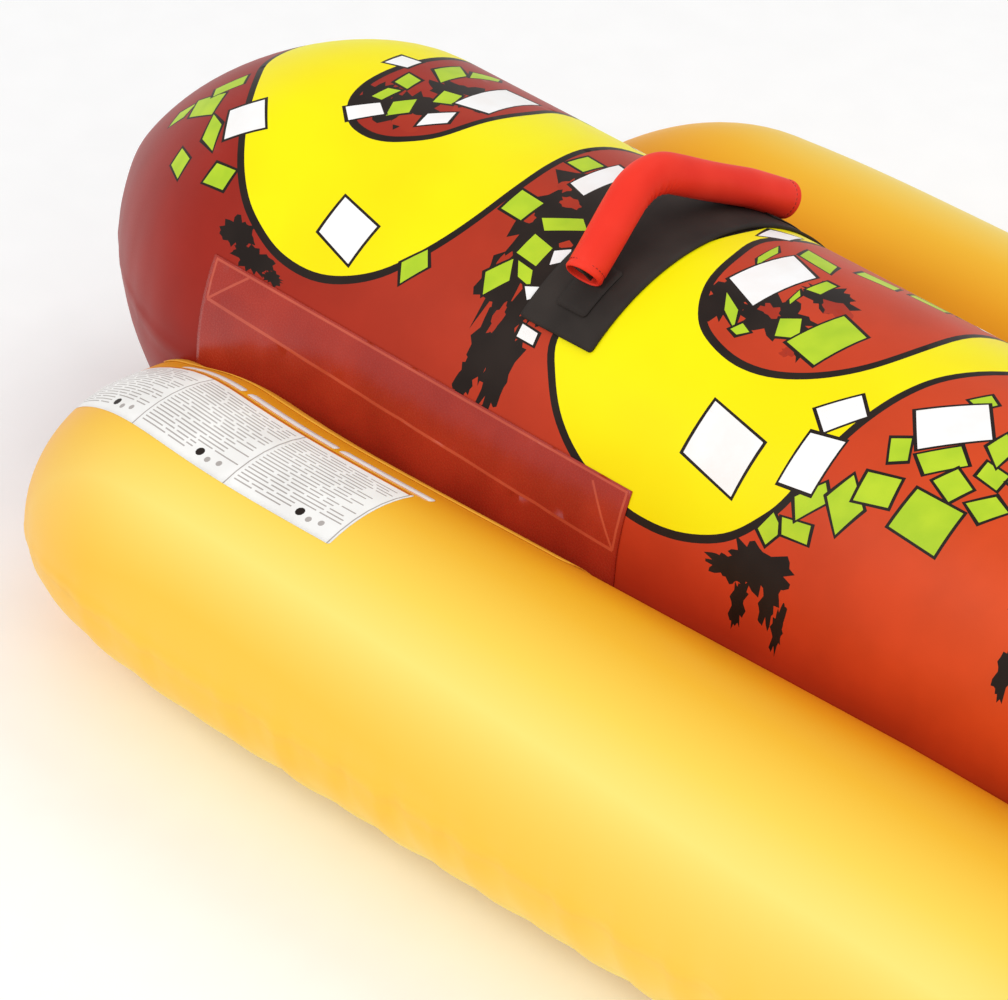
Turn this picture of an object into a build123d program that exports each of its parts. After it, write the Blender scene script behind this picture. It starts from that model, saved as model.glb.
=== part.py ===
from build123d import *
import os
from math import asin, cos, degrees, radians, sin, sqrt

# Two-rider towable tube: a long middle tube between two lower side tubes ("buns"), all three
# lying on the water or on the ground. Millimetres and degrees. +X is forward, towards the tow
# point, +Y is the left-hand side and +Z is up. The origin is on the ground, under the centre.

# ---- Driving dimensions ----
# Middle tube
tube_length = 2100
tube_radius = 225
tube_dome = 326  # length of each domed end
tube_dome_fullness = 0.35  # 0.55 is an ellipse, less is more pointed
tube_roll = 6  # the middle tube lies rolled this far towards the left bun
# Bun tubes
bun_length = 1622
bun_radius = 155
bun_dome = 270
bun_dome_fullness = 0.55
# Sheet goods and the gaps that they are laid with
skin = 1.2
tube_gap = 0.5  # between the middle tube and a bun where they touch
lay_gap = 0.3  # under each piece that is laid on another
flap_sheet = 1.0
# Connection flaps: the red sheet on the middle tube and the yellow one on the bun
flap_offset = 345  # from each end of the middle tube to the nearest flap
flap_lengths = {"rear": 570, "front": 370}
flap_top_angle = 62  # from the crest of the middle tube
tab_top_angle = 34  # from the crest of the bun
lower_flap_length = 1000
lower_flap_depth = 62  # how far each lower sheet reaches from the nip, along the tube
# Handles
handle_offsets = {"rear": 760, "front": 1415}  # from the rear end of the middle tube
pad_width = 92
pad_half_angle = 47
pad_sheet = 3.0
pad_corner = 4
anchor_length = 56
anchor_width = 38
anchor_sheet = 1.5
foot_angle = 33.5
grip_radius = 19.5
grip_cover = 2.0
grip_gap = 0.8  # between the end of the grip and its anchor
foam_gap = 0.3
webbing_width = 25
webbing_sheet = 2.5
webbing_gap = 0.5
grip_lean = 10  # the grip rests leaning this far towards the rear
grip_bend = (88, 99)  # corner of the arch: in from the right-hand foot, and up
grip_shoulder = (40, 36)  # gentle corner: in from the left-hand foot, and up
grip_bend_radius = 42
grip_shoulder_radius = 120
# Valves
tube_valve_inset = 416  # from the front end of each tube
bun_valve_inset = 312
flange_radius = 32
flange_sheet = 1.8
neck_bore = 13
neck_radius = neck_bore + 4
neck_depth = 18
neck_height = 5
insert_gap = 0.1
insert_depth = 16
throat_radius = neck_bore - 3.5
chamber_radius = throat_radius + 1.1
chamber_height = 3
lip_radius = neck_bore + 3.5
lip_height = 2
recess_radius = neck_bore - 1.5
recess_depth = 4
hub_radius = 3.2
hub_bore = 1.6
spoke_width = 2.4
spoke_height = 2
spider_rim = 1.6
spider_gap = 0.1
disc_radius = chamber_radius + 0.8
disc_sheet = 1.0
stem_radius = 1.5
cap_radius = neck_radius + 0.5
cap_height = 3.0
plug_radius = recess_radius - 1.1
plug_depth = 3.0
hinge_inset = 24  # from the valve's axis to the hinge of its cap
hinge_pin_radius = 1.25
hinge_pin_gap = 0.06
barrel_radius = 3.0
barrel_length = 9.4
lug_sheet = 3.0
lug_width = 6.0
# Tow point at the nose
tow_patch_width = 120
tow_patch_length = 190
tow_patch_sheet = 1.3
tow_patch_nose_gap = 14
strap_width = 38
strap_sheet = 2.6
strap_length = 165
loop_radius = 9
ring_wire_radius = 4
ring_bar_gap = 0.3
ring_half_width = 26
ring_drop = 20

# ---- Places that follow from them ----
loop_sink = 2  # how far the loop sits into the strap
loop_offset = lay_gap * 2 + tow_patch_sheet + strap_sheet + loop_radius - loop_sink
overall_length = tube_length + loop_offset + loop_radius
rear_x = -overall_length / 2
nose_x = rear_x + tube_length
bun_rear_x = rear_x + (tube_length - bun_length) / 2
bun_front_x = bun_rear_x + bun_length
tube_axis_z = tube_radius
bun_z = bun_radius
bun_y = sqrt((tube_radius + bun_radius + tube_gap) ** 2 - (tube_axis_z - bun_z) ** 2)
SIDES = {"right": -1, "left": 1}
CUT_REACH = 80  # how far cutting shapes run past the surface that they cut


def tube_form(rear, length, dome, radius, fullness, centre_y, grow):
    """A round tube with domed ends that lies on the ground, as one full body, grown by the
    thickness of a skin or of a laid sheet."""
    front = rear + length + grow
    rear -= grow
    dome += grow
    top = radius + grow
    axis_point = (0, centre_y, radius)
    with BuildPart() as form:
        with BuildSketch(Plane(origin=axis_point, x_dir=(1, 0, 0), z_dir=(0, -1, 0))):
            with BuildLine():
                Bezier(
                    (rear, 0), (rear, fullness * top),
                    (rear + (1 - fullness) * dome, top), (rear + dome, top),
                )
                Line((rear + dome, top), (front - dome, top))
                Bezier(
                    (front - dome, top), (front - (1 - fullness) * dome, top),
                    (front, fullness * top), (front, 0),
                )
                Line((front, 0), (rear, 0))
            make_face()
        revolve(axis=Axis(axis_point, (1, 0, 0)))
    return form.part


def middle_form(grow=0.0):
    return tube_form(rear_x, tube_length, tube_dome, tube_radius, tube_dome_fullness, 0, grow)


def bun_form(side, grow=0.0):
    return tube_form(
        bun_rear_x, bun_length, bun_dome, bun_radius, bun_dome_fullness, side * bun_y, grow
    )


def radial_plane(x, angle, centre_y=0.0, centre_z=tube_axis_z):
    """Plane through a tube's axis whose normal points out at an angle from its crest, positive
    towards the right-hand side. Its x runs forward."""
    outward = (0, -sin(radians(angle)), cos(radians(angle)))
    return Plane(origin=(x, centre_y, centre_z), x_dir=(1, 0, 0), z_dir=outward)


def save(part, name):
    part.label = name
    export_step(part, f"parts/{name}.step")


os.makedirs("parts", exist_ok=True)
tube_outer = middle_form()
tube_inner = middle_form(-skin)
tube_lay = middle_form(lay_gap)
crest_angle = -tube_roll  # the crest that the handles sit on
bun_outer = {name: bun_form(side) for name, side in SIDES.items()}
bun_lay = {name: bun_form(side, lay_gap) for name, side in SIDES.items()}

# Each valve stands upright on the crest of its tube, near the front
valves = {
    "middle": (nose_x - tube_valve_inset, 0.0, tube_axis_z, tube_radius),
    "right": (bun_front_x - bun_valve_inset, -bun_y, bun_z, bun_radius),
    "left": (bun_front_x - bun_valve_inset, bun_y, bun_z, bun_radius),
}


def valve_top(name):
    """Plane on the crest of the tube at a valve, facing up."""
    x, y, axis_z, radius = valves[name]
    return Plane(origin=(x, y, axis_z + radius))


# ---- The three inflated tubes: thin skins, each with a round hole for its valve ----
def save_skin(node, outer, inner, valve):
    with BuildPart() as tube:
        add(outer)
        add(inner, mode=Mode.SUBTRACT)
        with BuildSketch(valve_top(valve).offset(-CUT_REACH)):
            Circle(neck_radius + lay_gap)
        extrude(amount=2 * CUT_REACH, mode=Mode.SUBTRACT)
    save(tube.part, node)


save_skin("sausage_tube", tube_outer, tube_inner, "middle")
for side_name, side in SIDES.items():
    save_skin(f"{side_name}_bun_tube", bun_outer[side_name], bun_form(side, -skin), side_name)

# ---- Connection flaps: sheets welded on the middle tube and on the bun, which meet in the nip ----
tube_flap_shell = middle_form(lay_gap + flap_sheet)
nip_angle = 90 + degrees(asin((tube_axis_z - bun_z) / (tube_radius + bun_radius + tube_gap)))
nip_gap = 2 * (lay_gap + flap_sheet) + lay_gap  # gap between the tubes where the sheets meet
nip_reach = sqrt(2 * (nip_gap - tube_gap) / (1 / tube_radius + 1 / bun_radius))
tube_nip_step = degrees(nip_reach / tube_radius)
bun_nip_step = degrees(nip_reach / bun_radius)


def wedge_sheet(x_start, length, centre_y, centre_z, from_angle, to_angle, side, shell, core):
    """A sheet laid on a tube between two angles from its crest, measured towards the side."""
    reach = 2 * tube_radius
    corners = [
        (reach * sin(radians(a)), reach * cos(radians(a))) for a in (from_angle, to_angle)
    ]
    across = Plane(origin=(x_start, centre_y, centre_z), x_dir=(0, side, 0), z_dir=(side, 0, 0))
    with BuildPart() as sheet:
        with BuildSketch(across):
            Polygon((0, 0), corners[0], corners[1], align=None)
        extrude(amount=side * length)
        add(shell, mode=Mode.INTERSECT)
        add(core, mode=Mode.SUBTRACT)
    return sheet.part


flap_starts = {
    "rear": rear_x + flap_offset,
    "front": nose_x - flap_offset - flap_lengths["front"],
}
for side_name, side in SIDES.items():
    bun_flap_shell = bun_form(side, lay_gap + flap_sheet)
    for end, start in flap_starts.items():
        red_flap = wedge_sheet(
            start, flap_lengths[end], 0, tube_axis_z,
            flap_top_angle, nip_angle - tube_nip_step, side, tube_flap_shell, tube_lay,
        )
        save(red_flap, f"{side_name}_{end}_red_flap")
        yellow_tab = wedge_sheet(
            start, flap_lengths[end], side * bun_y, bun_z,
            tab_top_angle, 180 - nip_angle - bun_nip_step, -side, bun_flap_shell, bun_lay[side_name],
        )
        save(yellow_tab, f"{side_name}_{end}_yellow_tab")
    lower_start = (rear_x + nose_x) / 2 - lower_flap_length / 2
    lower_red = wedge_sheet(
        lower_start, lower_flap_length, 0, tube_axis_z,
        nip_angle + tube_nip_step, nip_angle + tube_nip_step + degrees(lower_flap_depth / tube_radius),
        side, tube_flap_shell, tube_lay,
    )
    bun_lower_angle = 180 - nip_angle + bun_nip_step
    lower_yellow = wedge_sheet(
        lower_start, lower_flap_length, side * bun_y, bun_z,
        bun_lower_angle, bun_lower_angle + degrees(lower_flap_depth / bun_radius),
        -side, bun_flap_shell, bun_lay[side_name],
    )
    with BuildPart() as lower_flap:
        add(lower_red)
        add(lower_yellow)
    save(lower_flap.part, f"{side_name}_lower_flap")

# ---- Handles: a pad on the tube, two sewn anchors, and a foam grip on webbing that tilts ----
pad_top = lay_gap + pad_sheet
anchor_base = pad_top + lay_gap
anchor_top = anchor_base + anchor_sheet
foot_reach = tube_radius + anchor_top + grip_gap + grip_radius
foot_half = foot_reach * sin(radians(foot_angle))
foot_height = foot_reach * cos(radians(foot_angle))
pad_shell = middle_form(pad_top)
anchor_core = middle_form(anchor_base)
anchor_shell = middle_form(anchor_top)


def arch_plane(x):
    """Plane of a grip's arch: its x runs from the right foot to the left one, and its y rises
    from the line through both feet, leaning towards the rear."""
    up = Vector(0, sin(radians(tube_roll)), cos(radians(tube_roll)))
    across = Vector(0, cos(radians(tube_roll)), -sin(radians(tube_roll)))
    rise = up * cos(radians(grip_lean)) + Vector(-1, 0, 0) * sin(radians(grip_lean))
    origin = Vector(x, 0, tube_axis_z) + up * foot_height
    return Plane(origin=origin, x_dir=across, z_dir=across.cross(rise))


for end, offset in handle_offsets.items():
    handle_x = rear_x + offset
    crest = radial_plane(handle_x, crest_angle)
    with BuildPart() as pad:
        with BuildSketch(crest):
            pad_chord = 2 * (tube_radius + pad_top) * sin(radians(pad_half_angle))
            RectangleRounded(pad_width, pad_chord, pad_corner)
        extrude(amount=tube_radius + CUT_REACH)
        add(pad_shell, mode=Mode.INTERSECT)
        add(tube_lay, mode=Mode.SUBTRACT)
    save(pad.part, f"{end}_handle_pad")

    with BuildPart() as anchors:
        for foot in (-foot_angle, foot_angle):
            with BuildSketch(radial_plane(handle_x, crest_angle + foot)):
                RectangleRounded(anchor_width, anchor_length, pad_corner)
            extrude(amount=tube_radius + CUT_REACH)
        add(anchor_shell, mode=Mode.INTERSECT)
        add(anchor_core, mode=Mode.SUBTRACT)
    save(anchors.part, f"{end}_handle_anchors")

    arch = arch_plane(handle_x)
    with BuildLine(arch) as route:
        FilletPolyline(
            (-foot_half, 0), (grip_bend[0] - foot_half, grip_bend[1]),
            (foot_half - grip_shoulder[0], grip_shoulder[1]), (foot_half, 0),
            radius=[grip_bend_radius, grip_shoulder_radius],
        )
    grip_path = route.line
    grip_start = Plane(origin=grip_path @ 0, x_dir=arch.z_dir, z_dir=grip_path % 0)
    foam_radius = grip_radius - grip_cover - foam_gap
    feet = (grip_path @ 0, grip_path @ 1)

    def rod(radius):
        """The grip's arch as a full rod with round ends."""
        with BuildPart() as full:
            with BuildSketch(grip_start):
                Circle(radius)
            sweep(path=grip_path)
            with Locations(*feet):
                Sphere(radius)
        return full.part

    outer_rod = rod(grip_radius)
    hollow_rod = rod(grip_radius - grip_cover)
    foam_rod = rod(foam_radius)

    with BuildPart() as cover:
        add(outer_rod)
        add(hollow_rod, mode=Mode.SUBTRACT)
    save(cover.part, f"{end}_grip_cover")

    with BuildPart() as foam:
        add(foam_rod)
        with BuildSketch(grip_start):
            Rectangle(webbing_width + 2 * webbing_gap, webbing_sheet + 2 * webbing_gap)
        sweep(path=grip_path, mode=Mode.SUBTRACT)
    save(foam.part, f"{end}_grip_foam")

    with BuildPart() as webbing:
        with BuildSketch(grip_start):
            Rectangle(webbing_width, webbing_sheet)
        sweep(path=grip_path)
    save(webbing.part, f"{end}_grip_webbing")

# ---- Valves: welded base, screw-in throat, spider with a one-way disc, and hinged cap ----
hinge_height = neck_height + lip_height + lay_gap + cap_height / 2
flange_base = {"middle": tube_lay, **bun_lay}
flange_shell = {"middle": middle_form(lay_gap + flange_sheet)}
for side_name, side in SIDES.items():
    flange_shell[side_name] = bun_form(side, lay_gap + flange_sheet)

for name, (valve_x, valve_y, axis_z, radius) in valves.items():
    top = valve_top(name)
    hinge = top.offset(hinge_height)
    hinge_centre = hinge.from_local_coords(Vector(-hinge_inset, 0, 0))
    lug_gap = barrel_length / 2 + lay_gap
    with BuildPart() as base:
        with BuildSketch(top.offset(-CUT_REACH)):
            Circle(flange_radius)
        extrude(amount=2 * CUT_REACH)
        add(flange_shell[name], mode=Mode.INTERSECT)
        add(flange_base[name], mode=Mode.SUBTRACT)
        with BuildSketch(top.offset(-neck_depth)):
            Circle(neck_radius)
        extrude(amount=neck_depth + neck_height)
        with BuildSketch(top.offset(lay_gap)):
            for way in (-1, 1):
                with Locations((-hinge_inset, way * (lug_gap + lug_sheet / 2))):
                    Rectangle(lug_width, lug_sheet)
        extrude(amount=hinge_height - lay_gap + barrel_radius)
        with BuildSketch(Plane(origin=hinge_centre, z_dir=(0, 1, 0))):
            Circle(hinge_pin_radius)
        extrude(amount=lug_gap + lug_sheet / 2, both=True)
        with BuildSketch(top.offset(-neck_depth)):
            Circle(neck_bore)
        extrude(amount=CUT_REACH, mode=Mode.SUBTRACT)
    save(base.part, f"{name}_valve_base")

    with BuildPart() as throat:
        with BuildSketch(top.offset(-insert_depth)):
            Circle(neck_bore - insert_gap)
        extrude(amount=insert_depth + neck_height)
        with BuildSketch(top.offset(neck_height)):
            Circle(lip_radius)
        extrude(amount=lip_height)
        with BuildSketch(top.offset(neck_height + lip_height - recess_depth)):
            Circle(recess_radius)
        extrude(amount=recess_depth, mode=Mode.SUBTRACT)
        with BuildSketch(top.offset(-insert_depth)):
            Circle(throat_radius)
        extrude(amount=insert_depth + neck_height, mode=Mode.SUBTRACT)
        with BuildSketch(top.offset(-insert_depth)):
            Circle(chamber_radius)
        extrude(amount=spoke_height + chamber_height, mode=Mode.SUBTRACT)
    save(throat.part, f"{name}_valve_throat")

    spider_radius = chamber_radius - spider_gap
    with BuildPart() as spider:
        with BuildSketch(top.offset(-insert_depth)):
            Circle(spider_radius)
            Circle(spider_radius - spider_rim, mode=Mode.SUBTRACT)
            Circle(hub_radius)
            with PolarLocations((spider_radius + hub_radius - spider_rim) / 2, 3):
                Rectangle(spider_radius - hub_radius, spoke_width)
        extrude(amount=spoke_height)
        with BuildSketch(top.offset(-insert_depth)):
            Circle(hub_bore)
        extrude(amount=spoke_height, mode=Mode.SUBTRACT)
    save(spider.part, f"{name}_valve_spider")

    with BuildPart() as disc:
        with BuildSketch(top.offset(-insert_depth - lay_gap)):
            Circle(disc_radius)
        extrude(amount=-disc_sheet)
        with BuildSketch(top.offset(-insert_depth - lay_gap)):
            Circle(stem_radius)
        extrude(amount=spoke_height + 2 * lay_gap)
        with BuildSketch(top.offset(-insert_depth + spoke_height + lay_gap)):
            Circle(hub_radius)
        extrude(amount=disc_sheet)
    save(disc.part, f"{name}_valve_disc")

    with BuildPart() as cap:
        with BuildSketch(hinge.offset(-cap_height / 2)):
            Circle(cap_radius)
            with Locations((-(cap_radius + hinge_inset) / 2, 0)):
                Rectangle(hinge_inset - cap_radius + barrel_radius, barrel_length)
        extrude(amount=cap_height)
        fillet(cap.edges().filter_by(GeomType.CIRCLE).group_by(Axis.Z)[-1], cap_height / 3)
        with BuildSketch(hinge.offset(-cap_height / 2)):
            Circle(plug_radius)
        extrude(amount=-plug_depth)
        with BuildSketch(Plane(origin=hinge_centre, z_dir=(0, 1, 0))):
            Circle(barrel_radius)
        extrude(amount=barrel_length / 2, both=True)
        with BuildSketch(Plane(origin=hinge_centre, z_dir=(0, 1, 0))):
            Circle(hinge_pin_radius + hinge_pin_gap)
        extrude(amount=barrel_length, both=True, mode=Mode.SUBTRACT)
    save(cap.part, f"{name}_valve_cap")

# ---- Tow point: two welded nose patches, a strap sewn over the nose and a hanging ring ----
patch_shell = middle_form(lay_gap + tow_patch_sheet)
strap_base = 2 * lay_gap + tow_patch_sheet
strap_core = middle_form(strap_base)
strap_shell = middle_form(strap_base + strap_sheet)
ring_x = nose_x + loop_offset
for name, way in (("upper", 1), ("lower", -1)):
    with BuildPart() as patch:
        with BuildSketch(Plane.XY.offset(tube_axis_z + way * tow_patch_nose_gap)):
            with Locations((nose_x - tow_patch_length / 2, 0)):
                RectangleRounded(tow_patch_length, tow_patch_width, tow_patch_width / 4)
        extrude(amount=way * tube_radius)
        add(patch_shell, mode=Mode.INTERSECT)
        add(tube_lay, mode=Mode.SUBTRACT)
    save(patch.part, f"tow_{name}_patch")

with BuildPart() as strap:
    with BuildSketch(Plane.XY.offset(tube_axis_z)):
        with Locations((nose_x - strap_length / 2 + CUT_REACH / 2, 0)):
            Rectangle(strap_length + CUT_REACH, strap_width)
    extrude(amount=tube_radius, both=True)
    add(strap_shell, mode=Mode.INTERSECT)
    add(strap_core, mode=Mode.SUBTRACT)
    with BuildSketch(Plane(origin=(ring_x, 0, tube_axis_z), z_dir=(0, 1, 0))):
        Circle(loop_radius)
    extrude(amount=strap_width / 2, both=True)
    add(strap_core, mode=Mode.SUBTRACT)
    with BuildSketch(Plane(origin=(ring_x, 0, tube_axis_z), z_dir=(0, 1, 0))):
        Circle(ring_wire_radius + ring_bar_gap)
    extrude(amount=strap_width, both=True, mode=Mode.SUBTRACT)
save(strap.part, "tow_strap")

ring_plane = Plane(origin=(ring_x, 0, tube_axis_z), x_dir=(0, 1, 0), z_dir=(1, 0, 0))
with BuildLine(ring_plane) as bow:
    Line((-ring_half_width, 0), (-ring_half_width, -ring_drop))
    ThreePointArc(
        (-ring_half_width, -ring_drop),
        (0, -ring_drop - ring_half_width),
        (ring_half_width, -ring_drop),
    )
    Line((ring_half_width, -ring_drop), (ring_half_width, 0))
with BuildPart() as ring:
    with BuildSketch(Plane(origin=bow.line @ 0, z_dir=bow.line % 0)):
        Circle(ring_wire_radius)
    sweep(path=bow.line)
    with Locations(bow.line @ 0, bow.line @ 1):
        Sphere(ring_wire_radius)
    with BuildSketch(Plane(origin=(ring_x, 0, tube_axis_z), z_dir=(0, 1, 0))):
        Circle(ring_wire_radius)
    extrude(amount=ring_half_width, both=True)
save(ring.part, "tow_ring")
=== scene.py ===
import math
import random

import bmesh
import bpy
import numpy as np
from mathutils import Matrix, Vector
from mathutils.geometry import delaunay_2d_cdt


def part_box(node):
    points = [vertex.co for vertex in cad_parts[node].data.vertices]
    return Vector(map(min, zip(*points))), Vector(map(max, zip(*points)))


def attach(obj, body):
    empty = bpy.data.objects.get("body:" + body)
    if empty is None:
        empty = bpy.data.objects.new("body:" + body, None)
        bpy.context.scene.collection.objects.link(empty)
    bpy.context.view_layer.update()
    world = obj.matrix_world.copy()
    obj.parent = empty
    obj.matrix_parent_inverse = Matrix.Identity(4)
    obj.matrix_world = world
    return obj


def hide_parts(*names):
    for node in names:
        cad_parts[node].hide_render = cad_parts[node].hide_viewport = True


# A two-rider towable tube: a printed middle tube between two plain "bun" tubes, with two foam
# handles on pads, welded flaps, inflation valves and a tow ring. Lengths on a tube's surface are
# in millimetres (along it from its rear end, and round it from its crest); the rest is metres.

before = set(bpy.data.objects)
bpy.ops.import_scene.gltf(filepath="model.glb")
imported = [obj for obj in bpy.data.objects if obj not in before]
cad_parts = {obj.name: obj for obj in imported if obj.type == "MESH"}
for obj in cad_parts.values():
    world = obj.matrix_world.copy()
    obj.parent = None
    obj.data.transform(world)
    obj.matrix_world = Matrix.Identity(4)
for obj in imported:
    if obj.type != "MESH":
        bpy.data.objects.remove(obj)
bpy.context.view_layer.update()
scene = bpy.context.scene
random.seed(31)
MM = 0.001

# ---- Sizes read from the frame ----
tube_low, tube_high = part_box("sausage_tube")
bun_low, bun_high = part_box("left_bun_tube")
rear_x = tube_low.x
nose_x = tube_high.x
tube_radius = (tube_high.z - tube_low.z) / 2 / MM
tube_length = (nose_x - rear_x) / MM
bun_rear_x = bun_low.x
bun_radius = (bun_high.z - bun_low.z) / 2 / MM
bun_length = (bun_high.x - bun_low.x) / MM
TURN = 2 * math.pi
tube_girth = TURN * tube_radius
bun_girth = TURN * bun_radius

# ---- Shape of the inflated tubes (mm, degrees) ----
tube_roll = math.radians(6)  # the middle tube's print and handles lie rolled to the left
tube_dome, tube_dome_fullness = 326, 0.35
bun_dome, bun_dome_fullness = 270, 0.55
tube_gap = 0.5
tube_taper = 0.117  # share of the radius lost per metre towards the front, about its middle
taper_middle = 1100
bun_end_lift = 100  # how far the centre of a bun's end is off the ground when its radius is nil
bun_end_spread = 70  # and how far it swings out from the middle tube
bun_end_squeeze = 15  # how far a bun presses into the middle tube near its ends
bun_corner_lift = 30  # how far the weld pulls up the inner top corner of a bun's end
bun_belly_flat = 11  # how much the outer lower side of a bun is flatter than a circle
squeeze_place, squeeze_reach = 190, 130  # from a bun's tip
corner_place, corner_reach = 72, 62
corner_angle, corner_spread = -0.85, 0.42  # round from the crest, in radians
belly_angle, belly_spread = 2.39, 0.55
tip_fade = 60  # seams and folds fade out over this much of each tip
tip_pleats, tip_pleat_height = 7, 3.0  # gathers in the fabric round a domed end
floor_rest = 6  # the belly of the middle tube settles on the floor from this height
seam_half_width = 6
seam_bevel = 2
seam_height = 0.9


def dome_table(dome, radius, fullness):
    """Distance along and radius of a domed end, from its tip to where it is full."""
    t = np.linspace(0, 1, 4001)
    a, b, c = 3 * (1 - t) ** 2 * t, 3 * (1 - t) * t**2, t**3
    return dome * (b * (1 - fullness) + c), radius * (a * fullness + b + c)


tube_table = dome_table(tube_dome, tube_radius, tube_dome_fullness)


def tube_swell(s):
    """The middle tube is fuller behind, slimmer at its waist and full again at the valve."""
    waist = 1 - tube_taper * MM * (np.clip(s, 0, 1300) - taper_middle)
    back = np.clip((s - 1300) / 300, 0, 1)
    return waist + (1 - waist) * back**2 * (3 - 2 * back)


bun_table = dome_table(bun_dome, bun_radius, bun_dome_fullness)
run_places = np.linspace(0, tube_length, 400)
tube_run = (run_places, tube_radius * tube_swell(run_places))


def pucker(s, seed, shortest, longest, count=7):
    """Folds across a seam: a sum of waves along it with seeded lengths and phases, -1 to 1."""
    rng = np.random.default_rng(seed)
    total = np.zeros_like(s)
    for _ in range(count):
        total += np.sin(TURN * (s / rng.uniform(shortest, longest) + rng.uniform()))
    return total / count**0.5 / 1.5


def unit(v):
    """Vectors made one long."""
    return v / np.maximum(np.linalg.norm(v, axis=-1, keepdims=True), 1e-12)


def hump(at, middle, reach):
    """A smooth hump, 1 at its middle."""
    return np.exp(-(((at - middle) / reach) ** 2))


def seam_ridge(off):
    """Height of a welded lap at a distance from its middle line."""
    return seam_height * np.clip((seam_half_width + seam_bevel - np.abs(off)) / seam_bevel, 0, 1)


def sausage_surface(s, c):
    """Points of the middle tube at s along it and c round it from its rolled crest, the right
    side positive."""
    angle = c / tube_radius - tube_roll
    end = np.minimum(s, tube_length - s)
    r = np.interp(end, *tube_table) * tube_swell(s)
    full = np.clip(end / tip_fade, 0, 1)
    off = (np.abs((angle + math.pi) % TURN - math.pi) - math.pi / 2) * r
    folds = pucker(s, 5, 45, 150) * hump(off, -20, 75)
    pleats = np.exp(-end / 55) * np.cos(tip_pleats * angle + 1.1) * np.clip(end / 12, 0, 1)
    r = r + full * (seam_ridge(off) - 1.6 * np.abs(folds)) + tip_pleat_height * pleats
    x = rear_x / MM + s
    z = tube_radius + r * np.cos(angle)
    z = np.where(z < floor_rest, floor_rest * np.exp((z - floor_rest) / floor_rest), z)
    return np.stack([x, -r * np.sin(angle), z], -1) * MM


def bun_surface(side):
    """The same for a bun: c is from its own crest, positive towards its outer side."""
    seed = 20 + side

    def surface(s, c):
        angle = c / bun_radius
        end = np.minimum(s, bun_length - s)
        r = np.interp(end, *bun_table)
        slack = 1 - r / bun_radius
        z = r + bun_end_lift * slack**2
        beside = np.interp(s + (bun_rear_x - rear_x) / MM, *tube_run)
        reach = (beside + r + tube_gap) ** 2 - (tube_radius - z) ** 2
        y = np.sqrt(reach) + bun_end_spread * slack**1.5
        y = y - bun_end_squeeze * hump(end, squeeze_place, squeeze_reach)
        wrapped = (angle + math.pi) % TURN - math.pi
        off = (wrapped - math.pi / 2) * r
        full = np.clip(end / tip_fade, 0, 1)
        folds = pucker(s, seed, 38, 120, 9) * hump(off, 25, np.where(off > 0, 95, 45))
        folds += 0.5 * pucker(s, seed + 7, 20, 45, 5) * hump(off, 12, 34)
        inner = hump((wrapped + math.pi / 2) * r, 0, 40)
        creases = 1.2 * inner * np.abs(pucker(s, seed + 3, 60, 160))
        belly = bun_belly_flat * hump(wrapped, belly_angle, belly_spread)
        corner = bun_corner_lift * hump(wrapped, corner_angle, corner_spread)
        corner *= hump(end, corner_place, corner_reach)
        r = r + full * (3.6 * folds + seam_ridge(off) - creases - belly + corner)
        x = bun_rear_x / MM + s
        return np.stack([x, side * (y + r * np.sin(angle)), z + r * np.cos(angle)], -1) * MM

    return surface


def nose_surface(a, b):
    """The middle tube's front dome as cloth lies on it: a is the distance from its tip over the
    top, b to the left."""
    along, radius = tube_table
    arc = np.concatenate([[0], np.cumsum(np.hypot(np.diff(along), np.diff(radius)))])
    far = np.hypot(a, b)
    way = np.arctan2(b, a)
    s = np.interp(far, arc, along)
    r = np.interp(far, arc, radius)
    x = nose_x / MM - s
    return np.stack([x, r * np.sin(way), tube_radius + r * np.cos(way)], -1) * MM


def raised(surface, s, c, lift, outward=1):
    """Points at a height in mm over a surface, along its normal."""
    s, c = np.asarray(s, float), np.asarray(c, float)
    along = surface(s + 1.5, c) - surface(s - 1.5, c)
    across = surface(s, c + 1.5) - surface(s, c - 1.5)
    return surface(s, c) + unit(np.cross(along, across)) * lift * MM * outward


# ---- Outlines ----
def smooth_loop(points, steps):
    """A closed smooth curve through a few points."""
    p = np.array(points, float)
    t = np.linspace(0, 1, steps, endpoint=False)[:, None]
    before, after, beyond = np.roll(p, 1, 0), np.roll(p, -1, 0), np.roll(p, -2, 0)
    out = []
    for i in range(len(p)):
        a, b, c, d = before[i], p[i], after[i], beyond[i]
        out.append(
            0.5 * (2 * b + (c - a) * t + (2 * a - 5 * b + 4 * c - d) * t**2
                   + (3 * b - 3 * c + d - a) * t**3)
        )
    return np.concatenate(out)


def area_of(loop):
    x, y = loop.T
    return float((x * np.roll(y, -1) - y * np.roll(x, -1)).sum() / 2)


def inset(loop, width):
    """The loop moved inwards by a width."""
    along = unit(np.roll(loop, -1, 0) - np.roll(loop, 1, 0))
    inward = np.stack([-along[:, 1], along[:, 0]], 1) * math.copysign(1, area_of(loop))
    return loop + inward * width


def shrunk_quad(corners, width):
    """A four-sided outline with each side moved inwards by a width."""
    centre = corners.mean(0)
    reach = np.linalg.norm(corners - centre, axis=1, keepdims=True)
    return centre + (corners - centre) * np.clip(1 - 1.35 * width / reach, 0.1, 1)


def rounded_box(s0, s1, c0, c1, corner, steps=5):
    """A rectangle with round corners, from s0 to s1 and c0 to c1."""
    out = []
    for i, (s, c) in enumerate(((s1, c1), (s0, c1), (s0, c0), (s1, c0))):
        centre = (s - math.copysign(corner, s - s0 - 1e-6), c - math.copysign(corner, c - c0 - 1e-6))
        for k in range(steps + 1):
            turn = (i + k / steps) * math.pi / 2
            out.append((centre[0] + corner * math.cos(turn), centre[1] + corner * math.sin(turn)))
    return np.array(out)


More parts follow.
